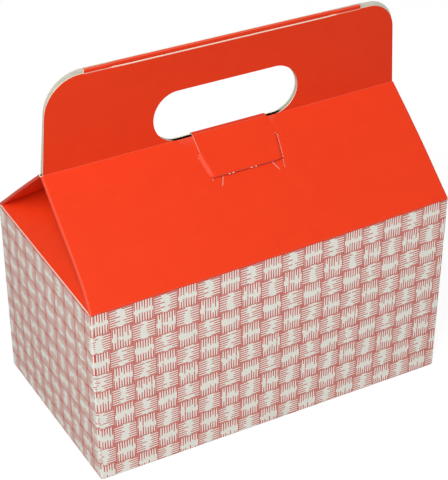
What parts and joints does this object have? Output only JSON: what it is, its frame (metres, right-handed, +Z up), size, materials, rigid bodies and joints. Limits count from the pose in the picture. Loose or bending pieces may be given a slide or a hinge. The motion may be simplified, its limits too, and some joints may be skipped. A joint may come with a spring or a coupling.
{
  "type": "handled takeout carton",
  "caption": "Closed gable-roof paperboard carry-out carton with an upright carrying handle, a hand hole and a tucked lock tab.",
  "frame": {"origin": "middle of the underside, on the surface that the carton stands on", "axes": "+X along the ridge and the long walls, -Y the front with the lock tab, +Z up"},
  "size_m": [0.241, 0.132, 0.2352],
  "materials": {
    "printed_board": "printed paperboard, satin"
  },
  "bodies": {
    "root": {"folded_carton": "printed_board"}
  },
  "joints": []
}
